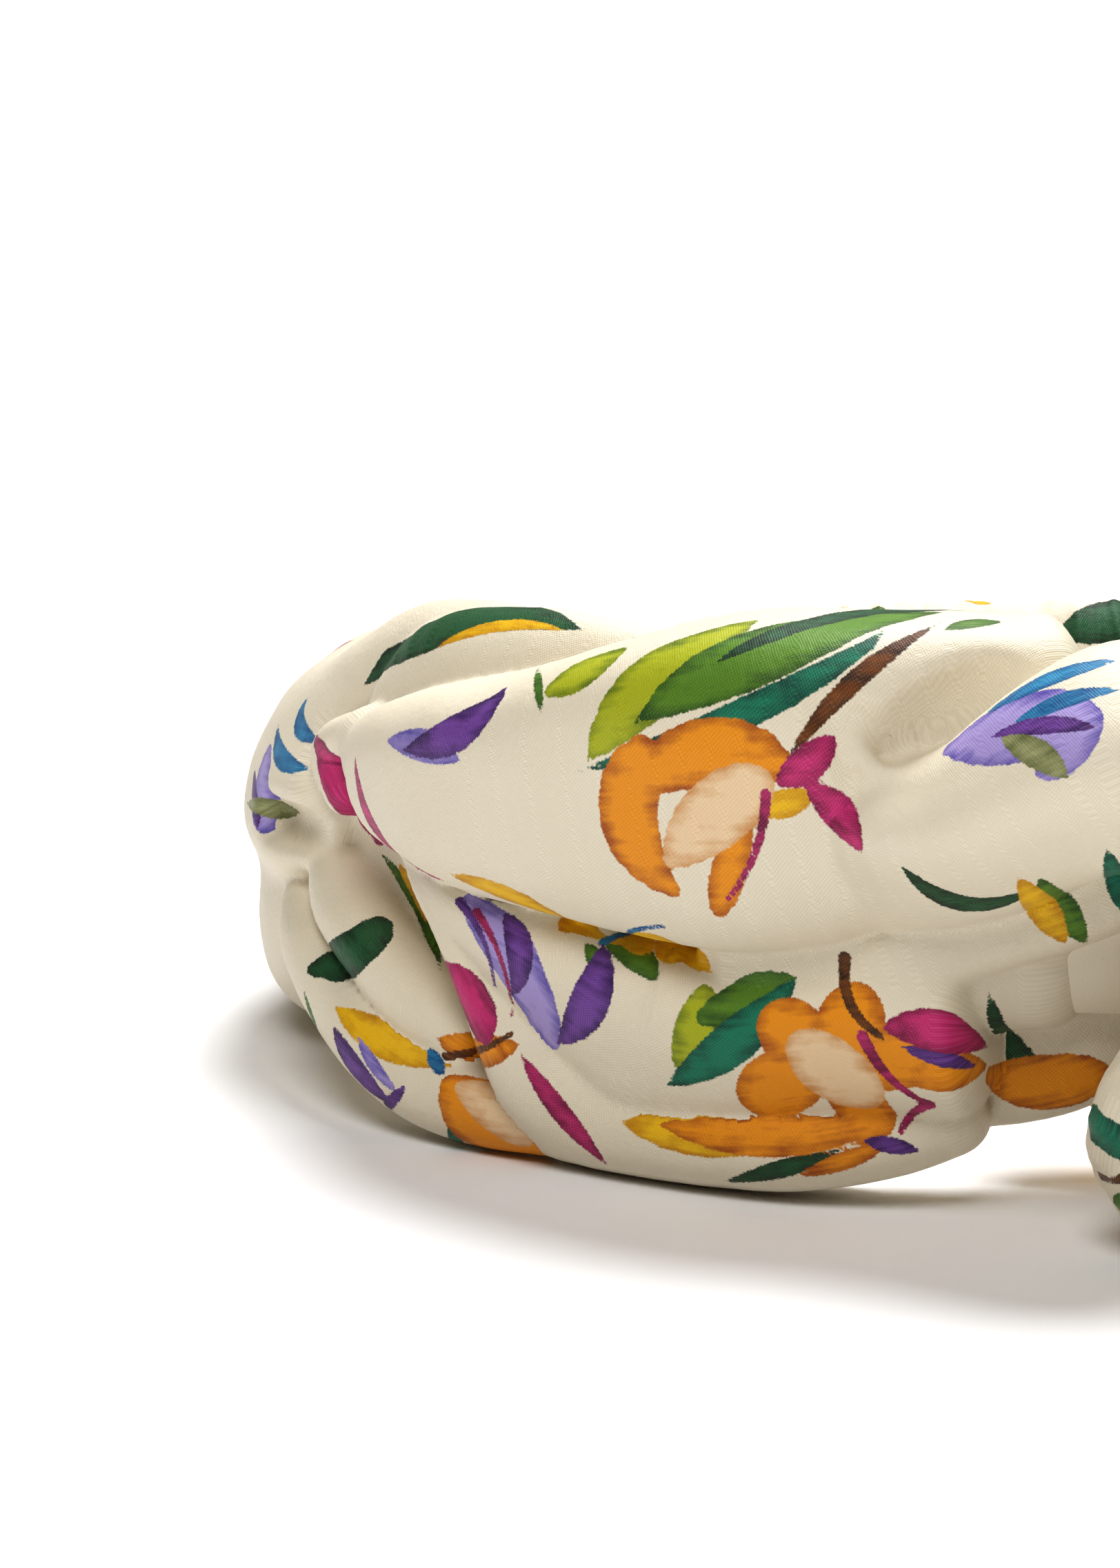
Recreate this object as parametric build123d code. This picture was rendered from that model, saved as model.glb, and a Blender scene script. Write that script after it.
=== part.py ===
"""Knotted headband: two wadded silk band tubes that meet in a twisted knot at the front and are joined
at the back by a ruched casing with an elastic strip inside.

Frame: millimetres, +Z up. The headband stands on its lower edge, as it lies on a table. The knot faces
-Y, the elastic is at +Y, and the origin is under the middle of its outer box.
"""

import os
from math import cos, radians, sin

from build123d import *

# Driving dimensions
LOOP_X = 87.0  # half width of the loop's centreline
LOOP_Y = 78.0  # half depth of the loop's centreline
WALL = 1.0  # silk with its interlining
SLIP = 0.8  # between a cover and what lies inside it

# Band: (angle round the loop from the knot in degrees, half thickness, height)
BAND_STATIONS = (
    (21.0, 11.0, 58.0),
    (40.0, 12.5, 61.0),
    (62.0, 12.5, 55.0),
    (90.0, 12.0, 49.0),
    (116.0, 10.5, 43.0),
    (142.0, 7.5, 37.0),
)
WADDING_FROM, WADDING_TO = 25.5, 130.0

# Elastic and its ruched casing, symmetric about the back
CASING_FROM = 138.5
CASING_STATIONS = ((138.5, 4.6, 28.0), (160.0, 6.2, 32.0), (180.0, 6.8, 33.0))
CASING_MID_Z = 18.0
ELASTIC_FROM = 134.0
ELASTIC_THICK, ELASTIC_WIDTH = 1.2, 22.0

# Knot: two folds, each three quarters of a ring about one tilted axis
KNOT_Z = 31.7  # lays the lower fold on the table
KNOT_TILT = 48.0
FOLD_RING = 18.3  # ring radius, to the middle of a fold
FOLD_HALF_THICK = 8.5
FOLD_HALF_WIDTH = 11.8
FOLD_OFFSET = 12.1  # along the knot's axis, so the folds clear each other
FOLD_START, FOLD_ARC = -52.0, 262.0
CORE_HALF_THICK, CORE_HEIGHT = 6.0, 20.0
CORE_TO = 24.0  # how far round the loop the knot's core reaches into each band

# The loop's middle, which puts the outer box's middle at the origin
LOOP_CENTRE_Y = (FOLD_RING + FOLD_HALF_THICK - CASING_STATIONS[-1][1]) / 2

# Threads and label
STITCH_R, STITCH_LONG = 0.35, 3.2
JOIN_AT = 140.3
JOIN_STITCH_LEVELS = (-13.5, -9.0, -4.5, 0.0, 4.5, 9.0, 13.5)
TACK_LEVELS = (-6.0, -2.0, 2.0, 6.0)
LABEL_WIDE, LABEL_LONG, LABEL_THICK = 9.0, 14.0, 0.5
LABEL_GAP = 0.9  # from the cover's middle height, because the cover curves round the tab

LEFT, RIGHT = -1, 1


def loop_point(angle):
    """Point of the loop's centreline in plan, by its angle from the knot, positive towards +X."""
    t = radians(angle)
    return LOOP_X * sin(t), LOOP_CENTRE_Y - LOOP_Y * cos(t)


def loop_plane(angle, z):
    """Plane square to the loop: its x points outwards and its y up."""
    x, y = loop_point(angle)
    t = radians(angle)
    tangent = Vector(LOOP_X * cos(t), LOOP_Y * sin(t), 0).normalized()
    outwards = Vector(tangent.Y, -tangent.X, 0)
    return Plane(origin=(x, y, z), x_dir=outwards, z_dir=tangent * -1)


def tube(stations, side, mid_z, shrink=0.0):
    """Loft of ellipses round the loop. A station is (angle, half thickness, height)."""
    sections = []
    for angle, half, height in stations:
        z = height / 2 if mid_z is None else mid_z
        section = loop_plane(side * angle, z) * Ellipse(half - shrink, height / 2 - shrink)
        sections.append(section)
    return loft(sections)


def between(stations, start, end):
    """The same stations cut to start and end, with sizes interpolated at both."""

    def at(angle):
        for low, high in zip(stations, stations[1:]):
            if angle <= high[0] or high is stations[-1]:
                share = (angle - low[0]) / (high[0] - low[0])
                return (angle, *(a + share * (b - a) for a, b in zip(low[1:], high[1:])))

    inner = [s for s in stations if start + 3 < s[0] < end - 3]
    return [at(start), *inner, at(end)]


def band_cover(side):
    """Open-ended tube of silk."""
    first, last = BAND_STATIONS[0][0], BAND_STATIONS[-1][0]
    hollow = tube(between(BAND_STATIONS, first - 2, last + 2), side, None, WALL)
    return tube(BAND_STATIONS, side, None) - hollow


def band_wadding(side):
    """Soft core that fills the tube."""
    return tube(between(BAND_STATIONS, WADDING_FROM, WADDING_TO), side, None, WALL + SLIP)


def mirrored_stations():
    """The casing's stations all the way across the back, from left to right."""
    first_half = [(-a, half, height) for a, half, height in CASING_STATIONS]
    second_half = [(a - 360, half, height) for a, half, height in reversed(CASING_STATIONS[:-1])]
    return first_half + second_half


def elastic_casing():
    """Ruched silk tube round the elastic."""
    stations = mirrored_stations()
    first, last = stations[0], stations[-1]
    longer = [(first[0] + 2, *first[1:]), *stations[1:-1], (last[0] - 2, *last[1:])]
    return tube(stations, 1, CASING_MID_Z) - tube(longer, 1, CASING_MID_Z, WALL)


def elastic_strip():
    """Flat woven elastic, from inside one band's end to inside the other's."""
    sections = []
    steps = 6
    for i in range(steps + 1):
        angle = -ELASTIC_FROM - i * (360 - 2 * ELASTIC_FROM) / steps
        sections.append(loop_plane(angle, CASING_MID_Z) * Rectangle(ELASTIC_THICK, ELASTIC_WIDTH))
    return loft(sections)


def knot_place():
    """From the knot's own axes, with its axis along X, to the headband."""
    return Pos(0, LOOP_CENTRE_Y - LOOP_Y, KNOT_Z) * Rot(0, KNOT_TILT, 0)


def knot_fold(side):
    """Three quarters of a ring. The left fold goes over the knot's top and the right fold under it."""
    profile = Plane.XY * Pos(side * FOLD_OFFSET, -FOLD_RING) * Ellipse(FOLD_HALF_WIDTH, FOLD_HALF_THICK)
    over_top = side == LEFT
    start = FOLD_START if over_top else -FOLD_START
    arc = FOLD_ARC if over_top else -FOLD_ARC
    # turning about -X carries the front of the ring over its top
    ring = revolve(Rot(-start, 0, 0) * profile, Axis((0, 0, 0), (-1, 0, 0)), arc)
    return knot_place() * ring


def knot_core():
    """The gathered middle that both folds wrap, with its ends inside the two band tubes."""
    angles = (-CORE_TO, -15.0, 0.0, 15.0, CORE_TO)
    ellipse = Ellipse(CORE_HALF_THICK, CORE_HEIGHT / 2)
    return loft([loop_plane(a, KNOT_Z) * ellipse for a in angles])


def join_stitches(side):
    """Column of stitches on the outside, where the casing is sewn into the band's end."""
    _, half, height = between(BAND_STATIONS, WADDING_FROM, JOIN_AT)[-1]
    mid = height / 2
    threads = []
    for level in JOIN_STITCH_LEVELS:
        out = half * (1 - (level / (height / 2)) ** 2) ** 0.5
        plane = loop_plane(side * JOIN_AT, mid + level)
        plane.origin = plane.origin + plane.x_dir * out
        threads.append(plane * Cylinder(STITCH_R, STITCH_LONG))
    return Compound(label="join", children=threads)


def tack_stitches():
    """Tacks that hold the folds together behind the knot."""
    threads = []
    behind = FOLD_RING + FOLD_HALF_THICK - 0.2
    for level in TACK_LEVELS:
        across = Rot(0, 90, 0) * Cylinder(STITCH_R, 2 * FOLD_OFFSET - 4)
        threads.append(knot_place() * Pos(0, behind, level) * across)
    return Compound(label="tacks", children=threads)


def care_label():
    """Blank satin tab caught in the left join, on the inside."""
    angle = -(CASING_FROM - 5.5)
    _, half, height = between(BAND_STATIONS, WADDING_FROM, -angle)[-1]
    plane = loop_plane(angle, height / 2)
    plane.origin = plane.origin - plane.x_dir * (half + LABEL_THICK / 2 + LABEL_GAP)
    return plane * Box(LABEL_THICK, LABEL_LONG, LABEL_WIDE)


def build():
    nodes = {
        "left_band_cover": band_cover(LEFT),
        "left_band_wadding": band_wadding(LEFT),
        "right_band_cover": band_cover(RIGHT),
        "right_band_wadding": band_wadding(RIGHT),
        "knot_left_fold": knot_fold(LEFT),
        "knot_right_fold": knot_fold(RIGHT),
        "knot_core": knot_core(),
        "knot_tack_stitches": tack_stitches(),
        "elastic_strip": elastic_strip(),
        "elastic_casing": elastic_casing(),
        "left_join_stitches": join_stitches(LEFT),
        "right_join_stitches": join_stitches(RIGHT),
        "care_label": care_label(),
    }
    os.makedirs("parts", exist_ok=True)
    for name, shape in nodes.items():
        export_step(shape, f"parts/{name}.step")
    boxes = [shape.bounding_box() for shape in nodes.values()]
    for k, axis in enumerate("XYZ"):
        low = min(tuple(b.min)[k] for b in boxes)
        high = max(tuple(b.max)[k] for b in boxes)
        print(f"{axis}: {low:.2f} to {high:.2f}")


build()
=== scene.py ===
"""Knotted headband of printed silk satin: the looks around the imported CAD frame.

The silk is built from rolls: long soft folds with a flattened round section that follow a path. A roll's
path is given in millimetres, round the loop or through the knot. Rolls of one group melt into each other in
a soft valley, and groups meet in a crease. The whole is one distance field, which becomes a mesh.
The print is painted with strokes that are stuck onto the mesh. Each vertex keeps its distance to the
nearest stroke of each ink, and the material turns those distances into brush marks.
"""

import math
from concurrent.futures import ThreadPoolExecutor

import bmesh
import bpy
import numpy as np
import openvdb
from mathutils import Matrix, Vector, noise
from mathutils.bvhtree import BVHTree


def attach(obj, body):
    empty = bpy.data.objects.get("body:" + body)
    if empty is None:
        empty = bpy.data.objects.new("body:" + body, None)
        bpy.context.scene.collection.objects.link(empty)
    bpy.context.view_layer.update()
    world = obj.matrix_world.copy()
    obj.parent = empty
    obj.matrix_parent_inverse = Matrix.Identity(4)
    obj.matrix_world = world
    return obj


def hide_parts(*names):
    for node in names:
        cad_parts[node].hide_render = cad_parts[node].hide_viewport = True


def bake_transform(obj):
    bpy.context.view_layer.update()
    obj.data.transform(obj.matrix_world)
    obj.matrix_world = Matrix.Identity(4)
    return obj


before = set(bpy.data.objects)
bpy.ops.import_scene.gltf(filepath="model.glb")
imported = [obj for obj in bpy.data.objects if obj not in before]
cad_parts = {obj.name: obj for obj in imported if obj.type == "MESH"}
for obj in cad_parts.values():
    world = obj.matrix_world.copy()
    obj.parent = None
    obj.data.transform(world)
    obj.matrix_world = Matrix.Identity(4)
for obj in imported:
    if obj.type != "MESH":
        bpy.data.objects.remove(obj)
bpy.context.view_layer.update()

MM = 0.001
ROOT, RIGHT_BODY = "left_half_and_knot", "right_half"
VOXEL = 0.6

# The loop, in millimetres, as in the CAD model
LOOP_X, LOOP_Y, LOOP_CENTRE_Y = 87.0, 78.0, 10.0
KNOT_CENTRE = (0.0, -65.0, 34.0)
TABLE_CLEARANCE = 0.05

# Height of the band by its angle from the knot
BAND_HEIGHT = ((0, 64), (24, 64), (40, 60), (62, 56), (90, 48), (116, 43), (142, 37), (180, 35))

# Blend between a group of rolls and the groups before it, in millimetres
CREASE, SOFT_CREASES = 0.3, {"over": 1.0}
MARGIN = 3.0  # free space round a box of rolls, in millimetres
OFF_GRID = 10.0  # the field's value past its grid, in millimetres
SMOOTHING = 2  # rounds that take the grid's steps off a mesh


# ---- Rolls ----


def loop_place(angle, out, z):
    """Point beside the loop's centreline, and the direction away from the loop there."""
    t = np.radians(angle)
    outward = np.stack([np.sin(t) * LOOP_Y, -np.cos(t) * LOOP_X, 0 * t], -1)
    outward /= np.linalg.norm(outward, axis=-1, keepdims=True)
    centre = np.stack([LOOP_X * np.sin(t), LOOP_CENTRE_Y - LOOP_Y * np.cos(t), z], -1)
    return centre + outward * np.asarray(out)[..., None], outward


def smooth_rows(rows, per_span=4):
    """Catmull-Rom curve through the rows, all columns at once."""
    rows = np.asarray(rows, float)
    ends = np.vstack([2 * rows[0] - rows[1], rows, 2 * rows[-1] - rows[-2]])
    out = []
    for i in range(len(rows) - 1):
        a, b, c, d = ends[i : i + 4]
        for f in np.arange(per_span) / per_span:
            square = (2 * a - 5 * b + 4 * c - d) * f**2
            cube = (3 * b - a - 3 * c + d) * f**3
            out.append(0.5 * (2 * b + (c - a) * f + square + cube))
    out.append(rows[-1])
    return np.array(out)


class Roll:
    """One fold: centre points, outward directions, half widths and half depths along a path."""

    def __init__(self, centres, outwards, wide, deep, power=2.3, blend=1.0, lean=0, cap=None, carve=False,
                 pleats=(0, 0)):
        self.centres = centres
        self.wide = np.maximum(wide, 0.5)
        self.deep = np.maximum(deep, 0.5)
        tangents = np.gradient(centres, axis=0)
        tangents /= np.linalg.norm(tangents, axis=1, keepdims=True)
        outwards = outwards - tangents * (outwards * tangents).sum(1, keepdims=True)
        outwards /= np.linalg.norm(outwards, axis=1, keepdims=True)
        sides = np.cross(outwards, tangents)
        turn = math.radians(lean)
        self.tangents = tangents
        self.outwards = outwards * math.cos(turn) + sides * math.sin(turn)
        self.sides = sides * math.cos(turn) - outwards * math.sin(turn)
        self.power, self.blend, self.cap, self.carve, self.pleats = power, blend, cap, carve, pleats
        steps = np.linalg.norm(np.diff(centres, axis=0), axis=1)
        self.lengths = np.concatenate([[0], np.cumsum(steps)])

    def nearest(self, points):
        """Place along the path nearest each point, counted in path points."""
        x, y, z = points.T
        best = np.full(len(points), np.inf, np.float32)
        place = np.zeros(len(points), np.float32)
        for i in range(len(self.centres) - 1):
            ax, ay, az = (float(v) for v in self.centres[i])
            bx, by, bz = (float(v) for v in self.centres[i + 1] - self.centres[i])
            dx, dy, dz = x - ax, y - ay, z - az
            f = np.clip((dx * bx + dy * by + dz * bz) / (bx * bx + by * by + bz * bz), 0, 1)
            d = (dx - f * bx) ** 2 + (dy - f * by) ** 2 + (dz - f * bz) ** 2
            closer = d < best
            best = np.where(closer, d, best)
            place = np.where(closer, i + f, place)
        return place

    def at(self, column, place):
        i = np.minimum(place.astype(int), len(column) - 2)
        f = place - i
        if column.ndim == 2:
            f = f[:, None]
        return column[i] * (1 - f) + column[i + 1] * f

    def section(self, points):
        """Distance to the roll's surface, the place along it in millimetres, and the turn round it."""
        place = self.nearest(points)
        gap = points - self.at(self.centres, place)
        across = (gap * self.at(self.sides, place)).sum(1)
        out = (gap * self.at(self.outwards, place)).sum(1)
        past = (gap * self.at(self.tangents, place)).sum(1)
        wide, deep = self.at(self.wide, place), self.at(self.deep, place)
        cap = np.minimum(wide, deep) if self.cap is None else self.cap
        p = self.power
        ratio = (np.abs(across / wide) ** p + np.abs(out / deep) ** p + np.abs(past / cap) ** p) ** (1 / p)
        size = np.sqrt(across**2 + out**2 + past**2)
        distance = size * (1 - 1 / np.maximum(ratio, 0.05))
        turn = np.arctan2(out / deep, across / wide)
        along = self.at(self.lengths, place)
        count, depth = self.pleats
        if count:
            wave = np.sin(count * turn + 2 * np.sin(along / 9))
            wave = wave + 0.5 * np.sin(2.3 * count * turn - along / 6)
            distance = distance - depth * wave
        return distance, along, turn

    def reach(self):
        return np.maximum(self.wide, self.deep)[:, None]


def band_roll(stations, **how):
    """Roll along the band. A station is (angle, outwards, z, half width, half depth)."""
    rows = smooth_rows(stations)
    centres, outwards = loop_place(rows[:, 0], rows[:, 1], rows[:, 2])
    return Roll(centres, outwards, rows[:, 3], rows[:, 4], **how)


def knot_roll(stations, **how):
    """Roll through the knot. A station is (x, y, z, half width, half depth)."""
    rows = smooth_rows(stations)
    centres = rows[:, :3]
    outwards = centres - np.array(KNOT_CENTRE)
    outwards[:, 0] = 0
    return Roll(centres, outwards, rows[:, 3], rows[:, 4], **how)


def band_height(angle):
    angles, heights = zip(*BAND_HEIGHT)
    return np.interp(abs(angle), angles, heights)


def turned_over(stations):
    """The same fold on the other half: a twist knot looks the same turned half round in front view."""
    return [(-t, out, band_height(t) - z, wide, deep) for t, out, z, wide, deep in stations]


# ---- From rolls to a mesh ----


def smooth_min(a, b, k):
    h = np.clip(0.5 + 0.5 * (b - a) / k, 0, 1)
    return b * (1 - h) + a * h - k * h * (1 - h)


def box_of(rolls):
    """Lowest and highest corner of the rolls' box, with the margin."""
    low = np.min([(r.centres - r.reach()).min(0) for r in rolls], 0) - MARGIN
    high = np.max([(r.centres + r.reach()).max(0) for r in rolls], 0) + MARGIN
    return low, high


def field_of(groups):
    """Signed distance on a grid round all the rolls. Groups melt within and crease at each other."""
    added = [r for rolls in groups.values() for r in rolls if not r.carve]
    low, high = box_of(added)
    counts = np.ceil((high - low) / VOXEL).astype(int)

    def part_near(rolls):
        """Slices of the grid that hold some rolls."""
        first, last = box_of(rolls)
        first = np.maximum(((first - low) / VOXEL).astype(int), 0)
        last = np.minimum(((last - low) / VOXEL).astype(int) + 1, counts)
        return tuple(slice(int(a), int(b)) for a, b in zip(first, last))

    def distance_near(roll):
        part = part_near([roll])
        axes = [low[k] + VOXEL * np.arange(part[k].start, part[k].stop) for k in range(3)]
        points = np.stack(np.meshgrid(*axes, indexing="ij"), -1).astype(np.float32)
        distance = roll.section(points.reshape(-1, 3))[0].reshape(points.shape[:3])
        return part, distance.astype(np.float32)

    field = np.full(counts, MARGIN, np.float32)
    with ThreadPoolExecutor(4) as pool:
        for group, rolls in groups.items():
            own = np.full(counts, MARGIN, np.float32)
            for roll, (part, distance) in zip(rolls, pool.map(distance_near, rolls)):
                if roll.carve:
                    own[part] = -smooth_min(-own[part], distance, roll.blend)
                else:
                    own[part] = smooth_min(own[part], distance, roll.blend)
            whole = part_near([r for r in rolls if not r.carve])
            field[whole] = smooth_min(field[whole], own[whole], SOFT_CREASES.get(group, CREASE))
    return field, low


def relaxed(points, quads, times):
    """Laplacian smoothing, which takes the grid's steps away."""
    ends = np.vstack([quads[:, [k, (k + 1) % 4]] for k in range(4)])
    count = np.bincount(ends[:, 0], minlength=len(points)) + np.bincount(ends[:, 1], minlength=len(points))
    for _ in range(times):
        total = np.zeros_like(points)
        for k in (0, 1):
            for axis in range(3):
                total[:, axis] += np.bincount(ends[:, k], points[ends[:, 1 - k], axis], len(points))
        points = 0.5 * points + 0.5 * total / count[:, None]
    return points


def owners_of(points, groups):
    """For each point the roll that it lies on, and its place along and turn round that roll."""
    best = np.full(len(points), np.inf)
    owner = np.zeros(len(points), int)
    rolls = [r for rolls in groups.values() for r in rolls if not r.carve]
    for index, roll in enumerate(rolls):
        low, high = box_of([roll])
        near = np.flatnonzero(((points > low) & (points < high)).all(1))
        distance = np.abs(roll.section(points[near])[0])
        closer = distance < best[near]
        best[near[closer]] = distance[closer]
        owner[near[closer]] = index
    return owner, rolls


def weave_map(mesh, points, quads, owner, rolls):
    """UV map in millimetres along and round each fold, so that the weave follows the folds."""
    place = np.zeros((len(quads), 4, 2))
    face_owner = owner[quads[:, 0]]
    for index, roll in enumerate(rolls):
        faces = np.flatnonzero(face_owner == index)
        if len(faces) == 0:
            continue
        corners = quads[faces].ravel()
        used, back = np.unique(corners, return_inverse=True)
        _, along, turn = roll.section(points[used])
        turn = turn[back].reshape(-1, 4)
        wraps = np.ptp(turn, axis=1) > math.pi
        turn[wraps] = np.where(turn[wraps] < 0, turn[wraps] + 2 * math.pi, turn[wraps])
        place[faces, :, 0] = along[back].reshape(-1, 4)
        place[faces, :, 1] = turn * float((roll.wide + roll.deep).mean() / 2)
    layer = mesh.uv_layers.new(name="weave")
    layer.data.foreach_set("uv", place.ravel())


def undulation(points):
    """Small dents that cloth has everywhere, in millimetres along the normal."""
    slow, quick = 14.0, 5.0
    return np.array([
        0.45 * noise.noise(Vector(p) / slow) + 0.12 * noise.noise(Vector(p) / quick) for p in points
    ])


def linked(name, data):
    """New object in the scene."""
    thing = bpy.data.objects.new(name, data)
    bpy.context.scene.collection.objects.link(thing)
    return thing


class Silk:
    """A mesh piece made from groups of rolls."""

    def __init__(self, name, groups):
        field, low = field_of(groups)
        grid = openvdb.FloatGrid(OFF_GRID)
        grid.copyFromArray(field)
        points, quads = grid.convertToQuads()
        points = points * VOXEL + low
        a, b, c, d = (points[quads[:, k]] for k in range(4))
        if (np.cross(a - c, b - d) * (a + c)).sum() < 0:
            quads = quads[:, ::-1]
        self.points, self.quads = relaxed(points, quads, SMOOTHING), quads
        self.owner, self.rolls = owners_of(self.points, groups)
        self.group = np.repeat(
            np.arange(len(groups)), [sum(not r.carve for r in rolls) for rolls in groups.values()]
        )[self.owner]
        self.piece = self.make(name)

    def make(self, name):
        mesh = bpy.data.meshes.new(name)
        mesh.from_pydata(self.points.tolist(), [], self.quads.tolist())
        normals = np.zeros(len(self.points) * 3)
        mesh.vertex_normals.foreach_get("vector", normals)
        self.points += normals.reshape(-1, 3) * undulation(self.points)[:, None]
        self.points[:, 2] = np.maximum(self.points[:, 2], TABLE_CLEARANCE)
        mesh.vertices.foreach_set("co", (self.points * MM).ravel())
        mesh.polygons.foreach_set("use_smooth", np.ones(len(self.quads), bool))
        weave_map(mesh, self.points, self.quads, self.owner, self.rolls)
        mesh.update()
        return linked(name, mesh)


# ---- The folds. Left half: (angle from the knot, outwards, z, half width, half depth) ----

LEFT_FOLDS = {
    "inner": dict(stations=[
        (-6, -1.5, 32, 12.5, 8.4), (-12, -1.5, 32, 14, 8.6), (-18, -1.5, 31.5, 17, 8.6),
        (-25, -1.8, 31, 20, 8.4), (-31, -4, 31, 23, 5), (-50, -3.6, 28, 23, 4.6),
        (-64, -3, 25, 19, 4.8), (-78, -1, 24, 20, 7.5), (-90, -1, 23.5, 19, 8.5),
        (-116, -1, 21.5, 18, 8), (-136, 0, 18.8, 16.5, 6.3), (-142, 0, 18.5, 16.5, 6.2),
    ]),
    "side_behind": dict(group="side", power=2.0, stations=[
        (-40, -9, 43, 8, 4.5), (-48, -8.5, 45.5, 10, 5), (-56, -7.5, 47, 10, 5.5),
        (-64, -5.5, 46, 9.5, 6), (-71, -3, 42.5, 8.5, 7), (-77, -1, 39, 8, 7.5),
        (-84, 0, 36, 7.5, 7.5),
    ]),
    "side_upper": dict(group="side", power=2.0, blend=3.0, cap=6, lean=-33, stations=[
        (-72, 2, 35.5, 12.5, 6), (-78, 1.5, 34.3, 14.5, 7.8), (-88, 1, 32.6, 15, 9),
        (-97, 1, 31, 15, 9.2), (-105, 0.8, 30, 14.5, 9), (-120, 0.5, 28, 13, 8),
        (-136, 0.3, 25, 10.5, 6.8), (-141.5, 0.3, 24, 9.5, 6.4),
    ]),
    "side_lower": dict(group="side", blend=3.0, stations=[
        (-76, 1.5, 17, 8, 6.5), (-82, 1.8, 15.5, 11, 8), (-90, 1.5, 14, 12.5, 9),
        (-105, 1.2, 13.2, 12, 8.7), (-120, 0.5, 12, 10.8, 7.5), (-136, 0, 11.5, 9.8, 6.5),
        (-141.5, 0, 11, 9, 6.2),
    ]),
    "side_cross": dict(group="side", blend=4.0, stations=[
        (-84, 5, 29, 4, 4), (-98, 5.5, 22, 4.5, 4), (-114, 5, 14, 4.5, 4), (-128, 3, 9, 4, 3.5),
    ]),
    "back_upper": dict(stations=[
        (-68, -1, 33, 5, 5), (-64, -2, 38, 9, 6.5), (-58, -3.5, 43.2, 12, 7),
        (-50, -4.5, 45.5, 12.3, 7), (-42, -5.5, 46, 12, 6), (-34, -7, 45, 11.5, 5),
        (-24, -7, 43, 11, 5),
    ]),
    "left_tip": dict(group="upper", stations=[
        (-61, 2.5, 43, 2, 4), (-65.5, 4, 41, 2.8, 4), (-68.5, 4.6, 38, 3.2, 4),
        (-66.5, 4.4, 34.5, 2.8, 3.8),
    ]),
    "front_lowest": dict(stations=[
        (-40, 0, 5, 5, 7), (-34, 0, 5.2, 5.2, 7.5), (-27, 0.3, 5.4, 5.3, 7.5), (-21, 0, 6.2, 5, 7.2),
        (-16, -0.5, 7.9, 5, 6.8), (-11.5, -1, 10, 4.4, 6),
    ]),
    "lower_left_low": dict(stations=[
        (-79, 2, 21, 4, 5), (-72, 5, 17.5, 4.3, 5.5), (-65, 6, 13, 4.4, 5.5), (-59, 6, 9, 4.5, 5.5),
        (-53.5, 5, 6, 4.6, 5.5), (-48, 3.5, 4.6, 4.5, 5.2), (-42, 1.5, 4.5, 4, 5),
    ]),
    "lower_left_high": dict(stations=[
        (-73, 2, 26, 3.4, 4.2), (-67, 4, 22.5, 3.7, 5), (-61, 4.5, 18.6, 3.8, 5),
        (-56, 4, 14.6, 3.8, 4.8), (-51, 2.5, 11, 3.5, 4.5),
    ]),
    "small_front": dict(power=2.0, stations=[
        (-55, 3, 31.5, 2, 4.5), (-52.6, 3.4, 28, 2.3, 5), (-50, 3.6, 24.5, 2.6, 5),
        (-47.8, 3.8, 20.6, 3, 5.2), (-45.8, 4, 17, 4, 5.4), (-43.6, 4, 13, 5.2, 5.6),
        (-41.4, 3.7, 9.4, 6, 5.7), (-38, 2.8, 6.6, 6.2, 5.2), (-33, 1.4, 5.4, 5, 5),
    ]),
    "under_lip": dict(stations=[
        (-15, -6, 17, 10.5, 6), (-11, -6.8, 17.8, 10.8, 5.5), (-7, -7, 19, 11, 5),
        (-4, -7, 20.8, 10.8, 5), (-0.5, -7, 23.5, 10, 5), (3, -6, 27, 8, 5),
    ]),
    "front_lower": dict(group="lower", power=2.5, lean=-12, cap=3, stations=[
        (-53, 2, 31, 2.6, 6), (-49, 1.8, 28.2, 3.8, 7.2), (-45.6, 1.4, 26, 4.9, 8),
        (-43, 1, 24.1, 6.4, 8.5), (-40, 0.5, 22, 8, 8.8), (-37.5, 0, 19.6, 9.6, 9),
        (-35, -0.4, 17.6, 11, 9.2), (-31.5, -0.8, 15.8, 11.6, 9.3), (-26.5, -1, 16.2, 9.6, 9.4),
        (-20, -0.8, 18.2, 9.2, 9.5), (-15, 0, 19.4, 9, 9.5), (-10.2, 1.4, 20, 8.8, 9),
    ]),
    "strip_to_knot": dict(group="lower", blend=2.5, power=2.8, stations=[
        (-20, -5, 21, 4.5, 5.5), (-17, -1.6, 24.6, 5.4, 7), (-13, 1.8, 28.2, 5.4, 7.2),
        (-9.5, 2.6, 30.6, 5, 6.9), (-6, 3.4, 32.6, 4.6, 6.7), (-2, 4, 35, 4.6, 6.5),
        (2, 3.2, 38, 4.5, 6.2), (6, 1.5, 41.5, 4.2, 5.5),
    ]),
    "front_upper": dict(group="upper", power=3.0, lean=-7, cap=5, blend=2, stations=[
        (-61, 2.2, 40, 5.2, 6.5), (-58, 2.8, 39.6, 7.6, 8), (-53.5, 3.2, 39.9, 9.4, 9),
        (-48, 4, 40.4, 10.8, 9.5), (-42.5, 4.4, 41.2, 12.3, 9.9), (-32, 4.4, 43.3, 16, 10.6),
        (-24, 4.2, 45.2, 17.8, 11.2), (-16.5, 3.6, 47.7, 16.3, 11), (-10, 2, 50.2, 14, 9.5),
        (-5, 0, 51.5, 12, 8),
    ]),
}

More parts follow.
